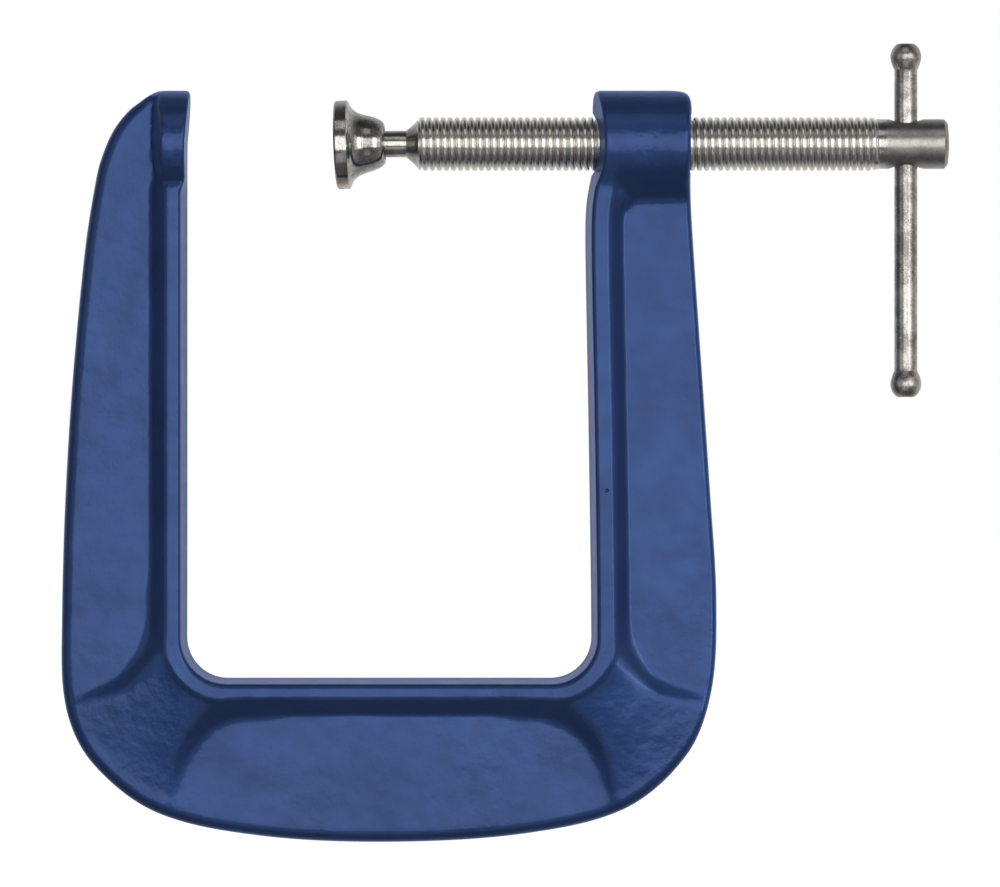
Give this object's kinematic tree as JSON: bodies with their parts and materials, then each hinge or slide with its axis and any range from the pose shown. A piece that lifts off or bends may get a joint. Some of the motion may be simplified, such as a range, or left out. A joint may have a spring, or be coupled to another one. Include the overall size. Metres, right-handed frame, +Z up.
{
  "type": "c clamp",
  "caption": "Deep-throat C clamp: U-shaped cast frame, threaded spindle through a boss, swivel pad on a ball tip, sliding T-bar handle.",
  "frame": {"origin": "centre of the anvil's face, on the spindle's axis", "axes": "+X out of the anvil's face, along the spindle towards the handle; +Z up, away from the throat; +Y across the frame's thickness"},
  "size_m": [0.1893, 0.0228, 0.1702],
  "materials": {
    "frame_enamel": "glossy dark blue enamel over a sand casting",
    "spindle_steel": "bright plated, rolled thread",
    "pad_steel": "bright plated, turned",
    "bar_steel": "bright plated, drawn rod with upset ends"
  },
  "bodies": {
    "frame": {"frame": "frame_enamel"},
    "spindle_ball": {"spindle_ball": "spindle_steel"},
    "spindle": {"spindle": "spindle_steel"},
    "swivel_pad": {"swivel_pad": "pad_steel"},
    "t_bar": {"t_bar": "bar_steel"}
  },
  "joints": [
    {"name": "spindle_feed", "type": "slide", "parent": "frame", "child": "spindle_ball", "axis": [-1, 0, 0], "range_m": [-0.0435, 0.03]},
    {"name": "spindle_turn", "type": "hinge", "parent": "spindle_ball", "child": "spindle", "pos_m": [0.0377, 0, 0], "axis": [-1, 0, 0], "range_deg": [-10440, 7200]},
    {"name": "pad_tilt", "type": "hinge", "parent": "spindle_ball", "child": "swivel_pad", "pos_m": [0.0377, 0, 0], "axis": [0, 1, 0], "range_deg": [-8, 8]},
    {"name": "t_bar_slide", "type": "slide", "parent": "spindle", "child": "t_bar", "axis": [0, 0, 1], "range_m": [-0.0103, 0.0429]}
  ],
  "couplings": [
    {"joint": "spindle_feed", "follows": "spindle_turn", "m_per_rad": 0.00023873}
  ]
}
